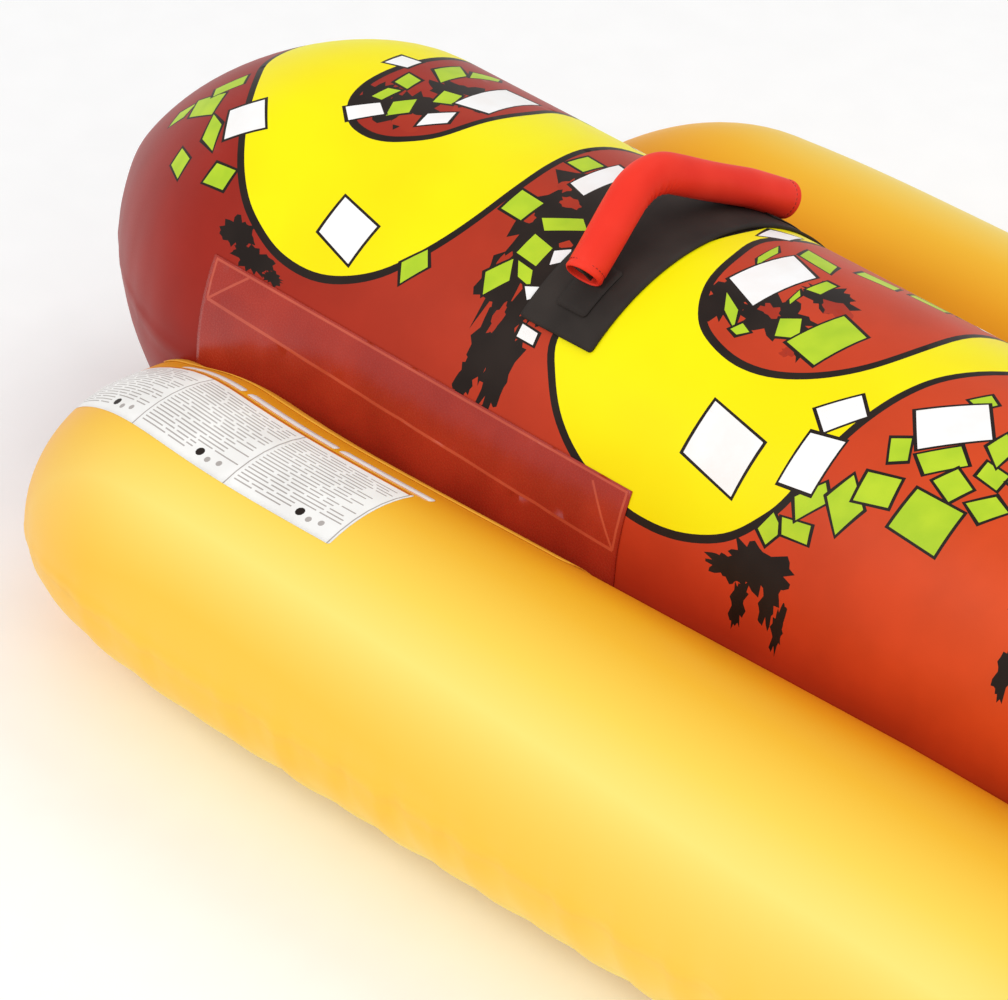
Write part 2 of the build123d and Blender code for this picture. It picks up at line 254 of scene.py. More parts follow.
def divided(loop, longest):
    """The loop with its long sides divided, so that it follows a curved surface."""
    out = []
    for a, b in zip(loop, np.roll(loop, -1, 0)):
        parts = max(1, math.ceil(np.linalg.norm(b - a) / longest))
        out += [a + (b - a) * k / parts for k in range(parts)]
    return np.array(out)


def ragged(s, c, half_s, half_c, points=34):
    """A charred mark with torn edges."""
    out = []
    for k in range(points):
        way = TURN * k / points
        r = random.uniform(0.55, 1.08)
        out.append((s + r * half_s * math.cos(way), c + r * half_c * math.sin(way)))
    return np.array(out)


def inside(points, loop):
    """Which points lie inside a loop."""
    low, high = loop.min(0), loop.max(0)
    near = np.flatnonzero(((points >= low) & (points <= high)).all(1))
    x, y = points[near].T
    odd = np.zeros(len(near), bool)
    for (x0, y0), (x1, y1) in zip(loop, np.roll(loop, -1, 0)):
        if y0 == y1:
            continue
        crosses = (y0 > y) != (y1 > y)
        odd ^= crosses & (x < (x1 - x0) * (y - y0) / (y1 - y0) + x0)
    found = np.zeros(len(points), bool)
    found[near[odd]] = True
    return found


def cut_mesh(points, loops):
    """Triangles over the points, with the loops as edges, and the middle of each triangle."""
    points = [tuple(p) for p in points]
    edges = []
    for loop in loops:
        first = len(points)
        points += [tuple(p) for p in loop]
        edges += [(first + k, first + (k + 1) % len(loop)) for k in range(len(loop))]
    where, _, faces, *_ = delaunay_2d_cdt([Vector(p) for p in points], edges, [], 0, 1e-3, False)
    where = np.array([tuple(p) for p in where])
    faces = np.array([f for f in faces if len(f) == 3])
    return where, faces, where[faces].mean(1)


# ---- Meshes and pieces ----
def make_piece(name, vertices, faces, materials, indices=None):
    mesh = bpy.data.meshes.new(name)
    mesh.from_pydata([tuple(v) for v in vertices], [], [tuple(map(int, f)) for f in faces])
    for material in materials:
        mesh.materials.append(material)
    if indices is not None:
        mesh.polygons.foreach_set("material_index", np.asarray(indices, np.int32))
    tidy = bmesh.new()
    tidy.from_mesh(mesh)
    bmesh.ops.remove_doubles(tidy, verts=tidy.verts, dist=2e-6)
    bmesh.ops.dissolve_degenerate(tidy, dist=1e-7, edges=tidy.edges)
    bmesh.ops.recalc_face_normals(tidy, faces=tidy.faces)
    tidy.to_mesh(mesh)
    tidy.free()
    mesh.polygons.foreach_set("use_smooth", [True] * len(mesh.polygons))
    piece = bpy.data.objects.new(name, mesh)
    scene.collection.objects.link(piece)
    return piece


def hand_over(piece, body, slot, *nodes):
    """The piece rides on a body and stands for CAD nodes, which it hides; slot is not used."""
    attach(piece, body)
    if nodes:
        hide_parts(*nodes)
    return piece


def painted(middles, prints):
    """The material of each triangle: the last print that covers it."""
    index = np.zeros(len(middles), int)
    for loop, material in prints:
        index[inside(middles, loop)] = material
    return index


def skin(name, surface, s_lines, c_lines, prints, materials):
    """A whole inflated tube, printed."""
    grid = np.stack(np.meshgrid(s_lines, c_lines, indexing="ij"), -1).reshape(-1, 2)
    border = np.array([
        (s_lines[0], c_lines[0]), (s_lines[-1], c_lines[0]),
        (s_lines[-1], c_lines[-1]), (s_lines[0], c_lines[-1]),
    ])
    where, faces, middles = cut_mesh(grid, [border] + [loop for loop, _ in prints])
    return make_piece(name, surface(*where.T), faces, materials, painted(middles, prints))


def laid_sheet(name, surface, outline, lift, sheet, materials, prints=(), step=9):
    """A sheet cut to an outline and laid on a surface, with its two faces and its cut edge. A
    probe tells which way is out of the surface."""
    outline = divided(outline, step)
    low, high = outline.min(0), outline.max(0)
    s = np.arange(low[0] + step / 2, high[0], step)
    c = np.arange(low[1] + step / 2, high[1], step)
    grid = np.stack(np.meshgrid(s, c, indexing="ij"), -1).reshape(-1, 2)
    grid = grid[inside(grid, inset(outline, step * 0.35))]
    where, faces, middles = cut_mesh(grid, [outline] + [loop for loop, _ in prints])
    keep = inside(middles, outline)
    faces, middles = faces[keep], middles[keep]
    index = painted(middles, prints)
    outward = 1
    probe = raised(surface, where[:1, 0], where[:1, 1], 50) - surface(where[:1, 0], where[:1, 1])
    core = surface(where[:1, 0], where[:1, 1]) - surface(where[:1, 0], where[:1, 1] + 300)
    if (probe * core).sum() < 0:
        outward = -1
    bottom = raised(surface, *where.T, lift, outward)
    top = raised(surface, *where.T, lift + sheet, outward)
    count = len(where)
    sides = np.sort(np.concatenate([faces[:, [0, 1]], faces[:, [1, 2]], faces[:, [2, 0]]]), 1)
    unique, seen = np.unique(sides, axis=0, return_counts=True)
    rim = unique[seen == 1]
    walls = np.stack([rim[:, 0], rim[:, 1], rim[:, 1] + count, rim[:, 0] + count], 1)
    all_faces = [*(faces + count), *faces[:, ::-1], *walls]
    indices = np.concatenate([index, np.zeros(len(faces) + len(walls), int)])
    return make_piece(name, np.concatenate([bottom, top]), all_faces, materials, indices)


def loft(name, rings, materials, joined=False):
    """Skins a row of rings of points; joined makes the last ring meet the first."""
    rings = np.array(rings)
    rows, round_count = rings.shape[:2]
    faces = []
    for i in range(rows if joined else rows - 1):
        a, b = i * round_count, (i + 1) % rows * round_count
        for k in range(round_count):
            n = (k + 1) % round_count
            faces.append((a + k, a + n, b + n, b + k))
    if not joined:
        faces.append(range(round_count))
        faces.append(range((rows - 1) * round_count, rows * round_count))
    return make_piece(name, rings.reshape(-1, 3), faces, materials)


# ---- Materials ----
def colour(code):
    """Linear colour of an sRGB hex value."""
    out = []
    for k in (1, 3, 5):
        v = int(code[k:k + 2], 16) / 255
        out.append(v / 12.92 if v <= 0.04045 else ((v + 0.055) / 1.055) ** 2.4)
    return (*out, 1)


def node(tree, kind, settings=None, **links):
    """Adds a node with its settings, numbers and links. A socket is named with underscores for
    spaces, or by its place with i0, i1 and so on."""
    made = tree.nodes.new(kind)
    for key, value in (settings or {}).items():
        setattr(made, key, value)
    for key, value in links.items():
        place = key[1:].isdigit() and key[0] == "i"
        socket = made.inputs[int(key[1:]) if place else key.replace("_", " ")]
        if isinstance(value, bpy.types.NodeSocket):
            tree.links.new(value, socket)
        else:
            socket.default_value = value
    return made


def surface_material(name, roughness, grain_mm, bump, depth_mm=0.2, **shader):
    """A shader with a fine surface grain. Returns material, tree, shader and place in metres."""
    material = bpy.data.materials.new(name)
    material.use_nodes = True
    tree = material.node_tree
    principled = tree.nodes["Principled BSDF"]
    place = node(tree, "ShaderNodeTexCoord").outputs["Object"]
    grain = node(
        tree, "ShaderNodeTexNoise", Vector=place, Scale=1 / (grain_mm * MM), Detail=3.0
    ).outputs["Fac"]
    rough = node(
        tree, "ShaderNodeMapRange", i0=grain, i3=roughness - 0.05, i4=roughness + 0.07
    ).outputs["Result"]
    relief = node(
        tree, "ShaderNodeBump", Strength=bump, Distance=depth_mm * MM, Height=grain
    ).outputs["Normal"]
    tree.links.new(rough, principled.inputs["Roughness"])
    tree.links.new(relief, principled.inputs["Normal"])
    for key, value in shader.items():
        principled.inputs[key.replace("_", " ")].default_value = value
    return material, tree, principled, place, grain


def ramp(tree, factor, stops):
    made = node(tree, "ShaderNodeValToRGB", Fac=factor)
    band = made.color_ramp
    while len(band.elements) < len(stops):
        band.elements.new(0.5)
    for element, (at, code) in zip(band.elements, stops):
        element.position = at
        element.color = colour(code)
    return made.outputs["Color"]


def mixed(tree, factor, a, b, way="MIX"):
    return node(
        tree, "ShaderNodeMix", {"data_type": "RGBA", "blend_type": way}, i0=factor, i6=a, i7=b
    ).outputs[2]


def plain(name, code, dark, roughness, grain_mm, bump, patch_mm=60, **shader):
    """A one-colour finish with a slow drift between two shades."""
    material, tree, principled, place, grain = surface_material(
        name, roughness, grain_mm, bump, **shader
    )
    drift = node(
        tree, "ShaderNodeTexNoise", Vector=place, Scale=1 / (patch_mm * MM), Detail=2.0
    ).outputs["Fac"]
    tone = ramp(tree, drift, ((0.35, dark), (0.65, code)))
    tree.links.new(tone, principled.inputs["Base Color"])
    return material


# Printed soft PVC: calendered film, slightly glossy, with a faint orange-peel of 1.5 mm
pvc = {"roughness": 0.38, "grain_mm": 1.5, "bump": 0.04, "IOR": 1.53, "Specular_IOR_Level": 0.12}


def sausage_print_and_painted_shade():
    """The grilled-sausage print, dark at the rear and orange-red to the front, with painted shade
    darkening it low down towards the floor and the crevices by the buns.
    """
    material, tree, principled, place, grain = surface_material("pvc_sausage_print_painted_shade", **pvc)
    apart = node(tree, "ShaderNodeSeparateXYZ", Vector=place)
    run = node(
        tree, "ShaderNodeMapRange", i0=apart.outputs["X"], i1=rear_x, i2=nose_x
    ).outputs["Result"]
    tone = ramp(tree, run, (
        (0.0, "#97201a"), (0.16, "#a3291c"), (0.34, "#c03c22"), (0.5, "#d24422"),
        (0.68, "#ea5620"), (1.0, "#f26221"),
    ))
    # Painted shade: below a height the print is mixed towards a dark red, standing in for the shaded
    # lower side and crevice.
    low = node(
        tree, "ShaderNodeMapRange", {"interpolation_type": "SMOOTHSTEP"},
        i0=apart.outputs["Z"], i1=0.33, i2=0.16,
    ).outputs["Result"]
    tone = mixed(tree, low, tone, mixed(tree, 0.55, tone, colour("#8e1c12")))
    mottle = node(
        tree, "ShaderNodeTexNoise", Vector=place, Scale=14.0, Detail=3.0
    ).outputs["Fac"]
    shade = ramp(tree, mottle, ((0.3, "#e6e6e6"), (0.7, "#ffffff")))
    tone = mixed(tree, 0.6, tone, shade, "MULTIPLY")
    tree.links.new(tone, principled.inputs["Base Color"])
    return material


def bun_print_and_painted_light():
    """The bun print, orange towards the ends, with painted shade and light across it: orange towards
    the middle tube as a painted crevice shadow, pale on the outer side as painted light.
    """
    material, tree, principled, place, grain = surface_material("pvc_bun_print_painted_light", **pvc)
    apart = node(tree, "ShaderNodeSeparateXYZ", Vector=place)
    side = node(tree, "ShaderNodeMath", {"operation": "ABSOLUTE"}, i0=apart.outputs["Y"])
    # Painted light and shade across the bun: orange by the middle tube is painted crevice shadow, the
    # pale outer band is painted light.
    across = node(
        tree, "ShaderNodeMapRange", i0=side.outputs[0], i1=bun_low.y, i2=bun_high.y
    ).outputs["Result"]
    tone = ramp(tree, across, (
        (0.0, "#df8310"), (0.3, "#eea01a"), (0.5, "#f7bb2e"), (0.72, "#fdd858"),
        (0.86, "#ffe578"), (1.0, "#ffca48"),
    ))
    end = node(tree, "ShaderNodeMath", {"operation": "ABSOLUTE"}, i0=apart.outputs["X"])
    near_end = node(
        tree, "ShaderNodeMapRange", {"interpolation_type": "SMOOTHSTEP"},
        i0=end.outputs[0], i1=0.45, i2=0.8,
    ).outputs["Result"]
    tone = mixed(tree, near_end, tone, mixed(tree, 0.72, tone, colour("#f5a722")))
    tree.links.new(tone, principled.inputs["Base Color"])
    return material


skin_red = sausage_print_and_painted_shade()
bun_yellow = bun_print_and_painted_light()
mustard = plain("pvc_mustard_print", "#fff400", "#ffea00", **pvc, patch_mm=150)
ink = plain("pvc_black_ink", "#2b211c", "#211814", **pvc)
relish = plain("pvc_relish_print", "#c0dc30", "#aed02c", **pvc, patch_mm=35)
onion = plain("pvc_onion_print", "#ffffff", "#fbf8f6", **pvc, patch_mm=35)
crust = plain("pvc_char_red", "#b5371f", "#a82f1c", **pvc)
# Clear red PVC flap film, glossier than the skin, showing the tube's red through it
flap_red = plain("pvc_red_flap", "#b23322", "#a32a1d", roughness=0.26, grain_mm=2.2, bump=0.06,
                 IOR=1.53, Specular_IOR_Level=0.4)
weld_red = plain("pvc_red_weld", "#d0593f", "#bf4a33", roughness=0.3, grain_mm=1.2, bump=0.12,
                 IOR=1.53)
tab_yellow = plain("pvc_yellow_tab", "#f3b23a", "#e9a52f", **pvc)
label_white = plain("pvc_label_white", "#fbfaf7", "#f1efec", **pvc)
label_grey = plain("pvc_label_grey", "#b9b2ae", "#aca5a1", **pvc)
label_orange = plain("pvc_label_line", "#ef8b2c", "#e58127", **pvc)
# Black diving neoprene: closed-cell rubber with a brushed nylon face, a 1 mm nap
neoprene_black = plain("neoprene_black_nylon", "#37302c", "#2b2522", roughness=0.72, grain_mm=1.0,
                       bump=0.35, Specular_IOR_Level=0.2)
# Red nylon-faced neoprene sleeve, smooth and stretched over foam
neoprene_red = plain("neoprene_red_nylon", "#fb3f2c", "#f23524", roughness=0.5, grain_mm=0.9,
                     bump=0.2, Specular_IOR_Level=0.15)
# Closed-cell foam, dull, with skinned-over pores of 1.5 mm
foam_grey = plain("eva_foam_grey", "#5b5b5c", "#4c4c4d", roughness=0.8, grain_mm=1.5, bump=0.5)


def webbing_material(name, code, dark):
    """Woven nylon webbing: ribs across it every 2 mm, and threads every 1 mm along them."""
    material, tree, principled, place, grain = surface_material(name, 0.6, 1.0, 0.2, 0.3)
    ribs = node(
        tree, "ShaderNodeTexWave", {"bands_direction": "DIAGONAL"}, Vector=place,
        Scale=160.0, Distortion=1.2, Detail=2.0,
    ).outputs["Fac"]
    tone = ramp(tree, ribs, ((0.2, dark), (0.8, code)))
    relief = node(
        tree, "ShaderNodeBump", Strength=0.6, Distance=0.5 * MM, Height=ribs
    ).outputs["Normal"]
    tree.links.new(tone, principled.inputs["Base Color"])
    tree.links.new(relief, principled.inputs["Normal"])
    return material


webbing_black = webbing_material("webbing_woven_black", "#35322f", "#1d1b1a")
# Injection-moulded soft PVC valve parts, and a cast rubber disc
valve_white = plain("pvc_moulded_valve", "#e9e6df", "#dedad2", roughness=0.35, grain_mm=1.2,
                    bump=0.08)
valve_cap_plastic = plain("pvc_moulded_cap", "#f2f0ea", "#e6e3dc", roughness=0.32, grain_mm=1.2,
                          bump=0.08)
valve_rubber = plain("rubber_moulded_disc", "#4a4745", "#3c3937", roughness=0.6, grain_mm=1.0,
                     bump=0.2)
# Bent stainless steel wire, brushed by handling
steel = plain("steel_stainless_ring", "#c8c9cb", "#b2b4b7", roughness=0.27, grain_mm=0.8,
              bump=0.08, Metallic=1.0)
# Bonded polyester sewing thread, slightly fuzzy
thread = plain("polyester_thread_red", "#a81d17", "#94170f", roughness=0.6, grain_mm=0.6, bump=0.3)
thread_grey = plain("polyester_thread_grey", "#6d6864", "#5c5753", roughness=0.6, grain_mm=0.6,
                    bump=0.3)

# ---- The print on the middle tube ----
outline_width = 8
chip_outline = 3.2
second_lobe = [
    (800, -50), (797, 20), (777, 90), (758, 150), (757, 190), (777, 222), (807, 255), (847, 281),
    (895, 297), (940, 302), (985, 296), (1028, 278), (1057, 250), (1076, 215), (1088, 147),
    (1094, 116), (1104, 73), (1117, 35),
]
second_island = [
    (1063, -68), (1063, 4), (1050, 56), (1023, 92), (984, 116), (943, 123), (902, 114), (877, 97),
    (856, 64), (844, 17), (835, -28), (842, -90),
]
repeat = 655  # the front of the print repeats the second lobe this much further on


def moved(points, by):
    return [(s + by, c) for s, c in points]


near_edge = [
    (200, 10), (210, 55), (240, 95), (300, 165), (340, 205), (375, 227), (420, 243), (470, 245),
    (515, 232), (555, 206), (587, 164), (604, 120), (609, 70), (606, 20), (602, -30), (610, -80),
    (650, -120), (710, -130), (770, -105), *second_lobe,
    (1144, -15), (1180, -70), (1240, -112), (1310, -128), (1380, -115), (1430, -90),
    *moved(second_lobe, repeat), (1790, 0), (1808, -55),
]
far_edge = [
    (1790, -105), (1752, -110), *moved(second_island, repeat),
    (1480, -165), (1440, -225), (1380, -260), (1300, -275), (1210, -272), (1130, -245),
    (1082, -190), (1066, -130), *second_island,
    (832, -160), (800, -225), (740, -262), (670, -270), (600, -255), (540, -215), (507, -155),
    (494, -90), (499, -37), (491, 13), (479, 57), (453, 82), (428, 92), (402, 91), (386, 82),
    (373, 68), (366, 49), (363, 24), (360, -27), (352, -80), (342, -130), (328, -180),
    (300, -225), (268, -240), (238, -222), (216, -170), (205, -110), (200, -50),
]
wave = smooth_loop(near_edge + far_edge, 5)

# White onion and green relish chips: middle (s, c), then the two sides as steps in s and c
onion_chips = [
    (282, 138, -34, -33, 40, -30), (392, 76, 26, -30, 20, 16), (349, -12, -4, -28, 28, -10),
    (460, 42, -12, -25, 26, -26), (464, -33, -9, -84, 44, -8), (480, 190, 59, 13, -5, 46),
    (652, 8, 2, -72, 28, 6), (707, 116, 16, -14, 10, 16), (709, 160, 16, -12, 12, 14),
    (732, 196, 30, 0, 4, 16), (823, -61, -14, -34, 20, -34), (888, 19, 6, -86, 50, 20),
    (983, 203, 72, 15, -2, 62), (1066, 122, 28, -37, 24, 20), (1071, 178, 42, -4, 1, 62),
    (1161, 80, 52, -48, 36, 40),
]
relish_chips = [
    (158, 148, -3, -28, 28, -17), (197, 133, 52, -12, 16, 36), (204, 100, 38, -28, 14, 18),
    (250, 163, -16, -36, 34, 10), (230, 205, 3, -26, 33, 9), (304, 200, 1, -26, 38, -4),
    (389, 44, 2, -28, 18, -2), (386, 14, -6, -30, 26, 2), (390, -38, -4, -44, 34, 18),
    (402, -75, 12, -40, 18, 20), (417, 50, 19, -22, 16, 24), (437, 8, -13, -30, 22, -10),
    (573, 188, 24, -30, 14, 18), (626, 87, 0, -33, 35, 2), (678, 122, -1, -29, 34, 2),
    (664, 162, 23, -30, 15, 22), (688, 148, -12, -18, 26, 0), (621, 0, 2, -30, 28, 4),
    (680, 84, 42, -24, 14, 14), (894, 82, -11, -26, 32, 10), (918, 96, 8, -14, 16, 4),
    (954, 69, -18, -26, 22, -14), (992, 60, 14, -66, 44, 12), (931, 0, -2, -34, 18, -2),
    (927, 32, -4, -28, 10, 6), (856, -8, -6, -42, 12, 12), (886, -47, 50, 4, 10, 28),
    (936, -80, 46, -10, 8, 24), (985, -100, 44, -12, 8, 22), (1068, 248, 12, -26, 18, 12),
    (1093, 237, 36, -4, 6, 18), (1093, 208, 26, -32, 16, 18), (1124, 196, 16, -34, 34, 30),
    (1144, 171, -5, -34, 40, -8), (1138, 130, -14, -26, 20, -12), (1178, 118, 34, -34, 22, 18),
    (1205, 134, 16, -26, 30, 14), (1204, 176, 2, -50, 58, 2), (1230, 108, 0, -22, 34, 4),
    (1216, 80, 6, -28, 26, 18), (1162, 38, 12, -24, 22, 8), (1246, 140, 20, -26, 24, 14),
    (1262, 96, 8, -30, 30, 8),
]
# Charred marks: middle (s, c), half sizes along and round
char_marks = [
    (672, 50, 60, 112), (722, 132, 30, 66), (672, 146, 28, 66), (700, 210, 26, 58),
    (722, 236, 20, 50), (690, 256, 14, 34), (720, 290, 10, 20), (362, 238, 26, 16),
    (392, 254, 34, 13), (424, 260, 16, 7), (1068, 284, 44, 26), (1038, 298, 28, 14),
    (1092, 302, 12, 36), (1060, 322, 10, 30), (1108, 330, 8, 28), (384, 56, 22, 34),
    (428, 50, 40, 34), (440, -10, 46, 30), (880, 72, 26, 36), (934, 66, 48, 30),
    (948, 8, 34, 28), (984, 78, 22, 22),
]
far_char_marks = [(640, -190), (560, -285), (1150, -300), (1290, -305), (1010, -150)]
far_char_size = (34, 46)
bare_marks = [
    (640, 95, 12, 9), (662, 60, 14, 9), (640, 40, 9, 14), (658, 150, 6, 18), (692, 196, 6, 18),
    (442, 62, 20, 14), (455, -2, 26, 16), (470, 20, 16, 12), (925, 62, 16, 9), (968, 20, 22, 14),
    (975, 94, 8, 8),
]


def print_layers():
    """The print in the order that it is laid: char, mustard, relish, onion."""
    layers = []
    for by in (0, repeat):
        for s, c, half_s, half_c in char_marks:
            if by and (s < 600 or s + by > 1840):
                continue
            layers.append((ragged(s + by, c, half_s, half_c), 1))
        for s, c, half_s, half_c in bare_marks:
            if by and s < 600:
                continue
            layers.append((ragged(s + by, c, half_s, half_c, points=18), 6))
    for s, c in far_char_marks:
        layers.append((ragged(s, c, *far_char_size), 1))
    layers.insert(0, (wave, 1))
    layers.append((inset(wave, outline_width), 2))
    chips = [(chip, 3) for chip in relish_chips] + [(chip, 4) for chip in onion_chips]
    for by, flip in ((0, 1), (repeat, 1), (300, -1), (-190, -1), (760, -1)):
        for chip, material in chips:
            s, c = chip[0] + by, chip[1] * flip
            if by and not (250 < s < 1800 and (by == repeat and chip[0] > 600 or c < -130)):
                continue
            first = np.array(chip[2:4]) * (1, flip)
            second = np.array(chip[4:6]) * (1, flip)
            quad = np.array([
                -first - second, first - second, first + second, second - first
            ]) / 2 + (s, c)
            quad += np.array([[random.uniform(-2.2, 2.2) for _ in "sc"] for _ in quad])
            layers.append((divided(quad, 14), 1))
            layers.append((divided(shrunk_quad(quad, chip_outline), 14), material))
    return layers


def run_lines(length, dome, step):
    """Places along a tube, closer together towards its two tips."""
    tips = dome * (1 - np.cos(np.linspace(0, math.pi / 2, 30)))
    middle = np.arange(dome + step, length - dome, step)
    return np.concatenate([tips, middle, length - tips[::-1]])


def round_lines(girth, seams, step):
    """Places round a tube, with lines along the edges of its seams."""
    count = round(girth / step)
    lines = list(np.linspace(-girth / 2, girth / 2, count + 1))
    for seam in seams:
        lines = [c for c in lines if abs(c - seam) > seam_half_width + 2 * seam_bevel]
        for off in (0, seam_half_width, seam_half_width + seam_bevel):
            lines += {seam - off, seam + off}
    return np.array(sorted(lines))


roll_shift = tube_roll * tube_radius
quarter = tube_girth / 4
sausage = skin(
    "sausage_skin", sausage_surface,
    run_lines(tube_length, tube_dome, 12),
    round_lines(tube_girth, (roll_shift + quarter, roll_shift - quarter), 12),
    print_layers(),
    [skin_red, ink, mustard, relish, onion, skin_red, crust],
)
hand_over(sausage, "root", "sausage_skin", "sausage_tube")

SIDES = {"right": -1, "left": 1}
buns = {side: bun_surface(way) for side, way in SIDES.items()}
for side in SIDES:
    bun = skin(
        f"{side}_bun_skin", buns[side], run_lines(bun_length, bun_dome, 10),
        round_lines(bun_girth, (bun_girth / 4,), 9), [], [bun_yellow],
    )
    hand_over(bun, "root", "bun_skin", f"{side}_bun_tube")

# ---- Connection flaps ----
lay_gap = 0.3
flap_sheet = 1.0
flap_lengths = {"rear": 570, "front": 370}
flap_starts = {"rear": 345, "front": tube_length - 345 - flap_lengths["front"]}
flap_tops = (61.5, 64.5)  # a flap's top edge drops a little towards the middle of the object
flap_welds = (72, 80)  # and so does the weld line under it
nip_clear = 5.5  # the flaps stop this far round the middle tube from where the tubes touch
bun_nip_clear = 8
tab_top_angle = 34
tab_over = 30  # how far a yellow tab runs on past its red flap, towards the bun's end
front_tab_short = 40
nip_angle = 90 + math.degrees(math.asin((tube_radius - bun_radius)
                                        / (tube_radius + bun_radius + tube_gap)))


def round_tube(degrees, side):
    """c of a world angle from the crest of the middle tube, towards a side."""
    return -side * math.radians(degrees) * tube_radius + roll_shift


def strip(a, b, width):
    """A narrow band from a to b."""
    a, b = np.array(a, float), np.array(b, float)
    way = unit(b - a)
    off = np.array([-way[1], way[0]]) * width / 2
    return divided(np.array([a + off, b + off, b - off, a - off]), 20)


for side, way in SIDES.items():
    for end, start in flap_starts.items():
        stop = start + flap_lengths[end]
        tops, lows = flap_tops, flap_welds
        if end == "front":
            tops, lows = tops[::-1], lows[::-1]
        foot = round_tube(nip_angle - nip_clear, way)
        outline = np.array([
            (start, round_tube(tops[0], way)), (stop, round_tube(tops[1], way)),
            (stop, foot), (start, foot),
        ])
        top_a, top_b = outline[:2]
        low_a = (start + 6, round_tube(lows[0], way))
        low_b = (stop - 6, round_tube(lows[1], way))
        welds = [
            (top_a + (4, 3 * -way), top_b + (-4, 3 * -way), 2.2), (low_a, low_b, 3),
            (top_a + (5, 4 * -way), low_a, 2.6), (top_b + (-5, 4 * -way), low_b, 2.6),
            (top_a + (52, 5 * -way), low_a, 2.4), (top_b + (-46, 8 * -way), low_b, 2.4),
        ]
        flap = laid_sheet(
            f"{side}_{end}_red_flap_film", sausage_surface, outline, lay_gap, flap_sheet,
            [flap_red, weld_red], [(strip(*weld), 1) for weld in welds],
        )
        hand_over(flap, "root", "red_sheet", f"{side}_{end}_red_flap")

bun_offset = (bun_rear_x - rear_x) / MM
for side, way in SIDES.items():
    for end, start in flap_starts.items():
        s0, s1 = start - bun_offset, start - bun_offset + flap_lengths[end]
        if end == "rear":
            s0 -= tab_over
        else:
            s0, s1 = s0 + front_tab_short, s1 + tab_over
        c0 = -math.radians(180 - nip_angle - bun_nip_clear) * bun_radius
        c1 = -math.radians(tab_top_angle) * bun_radius
        tab = laid_sheet(
            f"{side}_{end}_yellow_tab_film", buns[side],
            rounded_box(s0, s1, c0, c1, 14), lay_gap, flap_sheet, [tab_yellow],
        )
        hand_over(tab, "root", "bun_skin", f"{side}_{end}_yellow_tab")

lower_length = 1000
lower_depth = 62
lower_start = (tube_length - lower_length) / 2
for side, way in SIDES.items():
    top = round_tube(nip_angle + nip_clear, way)
    lower_bun = -math.radians(180 - nip_angle + bun_nip_clear) * bun_radius
    placed = {
        "tube": (sausage_surface, lower_start, sorted((top, top - way * lower_depth)), flap_red),
        "bun": (buns[side], lower_start - bun_offset, (lower_bun - lower_depth, lower_bun), tab_yellow),
    }
    for part, (surface, start, across, material) in placed.items():
        flap = laid_sheet(
            f"{side}_lower_flap_on_{part}", surface,
            rounded_box(start, start + lower_length, *across, 12), lay_gap, flap_sheet, [material],
            step=14,
        )
        hand_over(flap, "root", "red_sheet", f"{side}_lower_flap")

# ---- Label on the right bun: three panels of plain grey bars, with three bars above them ----
label_rows = (-46, 60)
label_cuts = (98, 233, 375, 516)
text_pitch, text_height = 4.6, 1.5
sign_step, sign_rows = 14, 24  # the dots at a panel's lower corner, and the rows they take up
bar_rows = (-66, -54)
bar_spans = ((166, 267), (275, 405), (411, 533))
label_prints = []
for left, right in zip(label_cuts, label_cuts[1:]):
    for edge in (left, right):
        label_prints.append((strip((edge, label_rows[0]), (edge, label_rows[1]), 1.6), 1))
    row = label_rows[0] + 8
    while row < label_rows[1] - 6:
        at = left + 5
        end = right - random.choice((5, 5, 8, 30))
        if row > label_rows[1] - sign_rows:
            end = right - 62
        while at < end - 8:
            run = min(random.uniform(14, 46), end - at)
            label_prints.append((strip((at, row), (at + run, row), text_height), 1))
            at += run + random.uniform(3, 5)
        row += text_pitch
    for k, size in enumerate((5, 3.4, 3.4)):
        spot = np.array([right - 50 + sign_step * k, label_rows[1] - 15 + 3 * (k % 2)])
        ring = [spot + size * np.array([math.cos(TURN * n / 10), math.sin(TURN * n / 10)])
                for n in range(10)]
        label_prints.append((np.array(ring), 3 if k == 0 else 1))
top_row = label_rows[0] - 2
label_prints.append((strip((label_cuts[0], top_row), (label_cuts[-1], top_row), 4), 2))
label = laid_sheet(
    "right_bun_label", buns["right"],
    rounded_box(label_cuts[0] - 4, label_cuts[-1] + 3, label_rows[0] - 4, label_rows[1], 3),
    0.15, 0.25, [label_white, label_grey, label_orange, ink], label_prints, step=12,
)
hand_over(label, "root", "bun_skin")
for count, (first, last) in enumerate(bar_spans):
    bar = laid_sheet(
        f"right_bun_label_bar_{count + 1}", buns["right"],
        rounded_box(first, last, *bar_rows, 5), 0.15, 0.25, [label_white, label_orange],
        [(strip((first + 2, bar_rows[1] - 0.8), (last - 2, bar_rows[1] - 0.8), 1.6), 1)], step=10,
    )
    hand_over(bar, "root", "bun_skin")

# ---- Handles: pad, anchors and a foam grip in a stretched sleeve ----
handle_offsets = {"rear": 760, "front": 1415}
pad_width, pad_half, pad_sheet = 92, math.radians(47) * tube_radius, 3.0
anchor_width, anchor_length, anchor_sheet = 38, 56, 1.5
anchor_lift = 2 * lay_gap + pad_sheet
foot_angle = math.radians(33.5)
thread_radius, anchor_stitch, hem_stitch = 0.5, 4.5, 2.8
grip_radius, grip_cover, grip_gap = 19.5, 2.0, 0.8
grip_lean = math.radians(10)
foot_reach = tube_radius + anchor_lift + anchor_sheet + grip_gap + grip_radius
foot_half = foot_reach * math.sin(foot_angle)
foot_height = foot_reach * math.cos(foot_angle)
sleeve_past_foot = 6
sleeve_hem = 7
gather_pitch, gather_depth = 8.5, 1.5  # the sleeve's gathers inside the tight bend
foam_radius, foam_flat, foam_slack = grip_radius - grip_cover - 1.2, 1.8, 0.97
grip_step, round_steps, bend_steps = 2.0, 40, 24
grip_corners = ((84, 78, 50), (50, 23, 120))  # in from a foot, up, and the radius of the bend


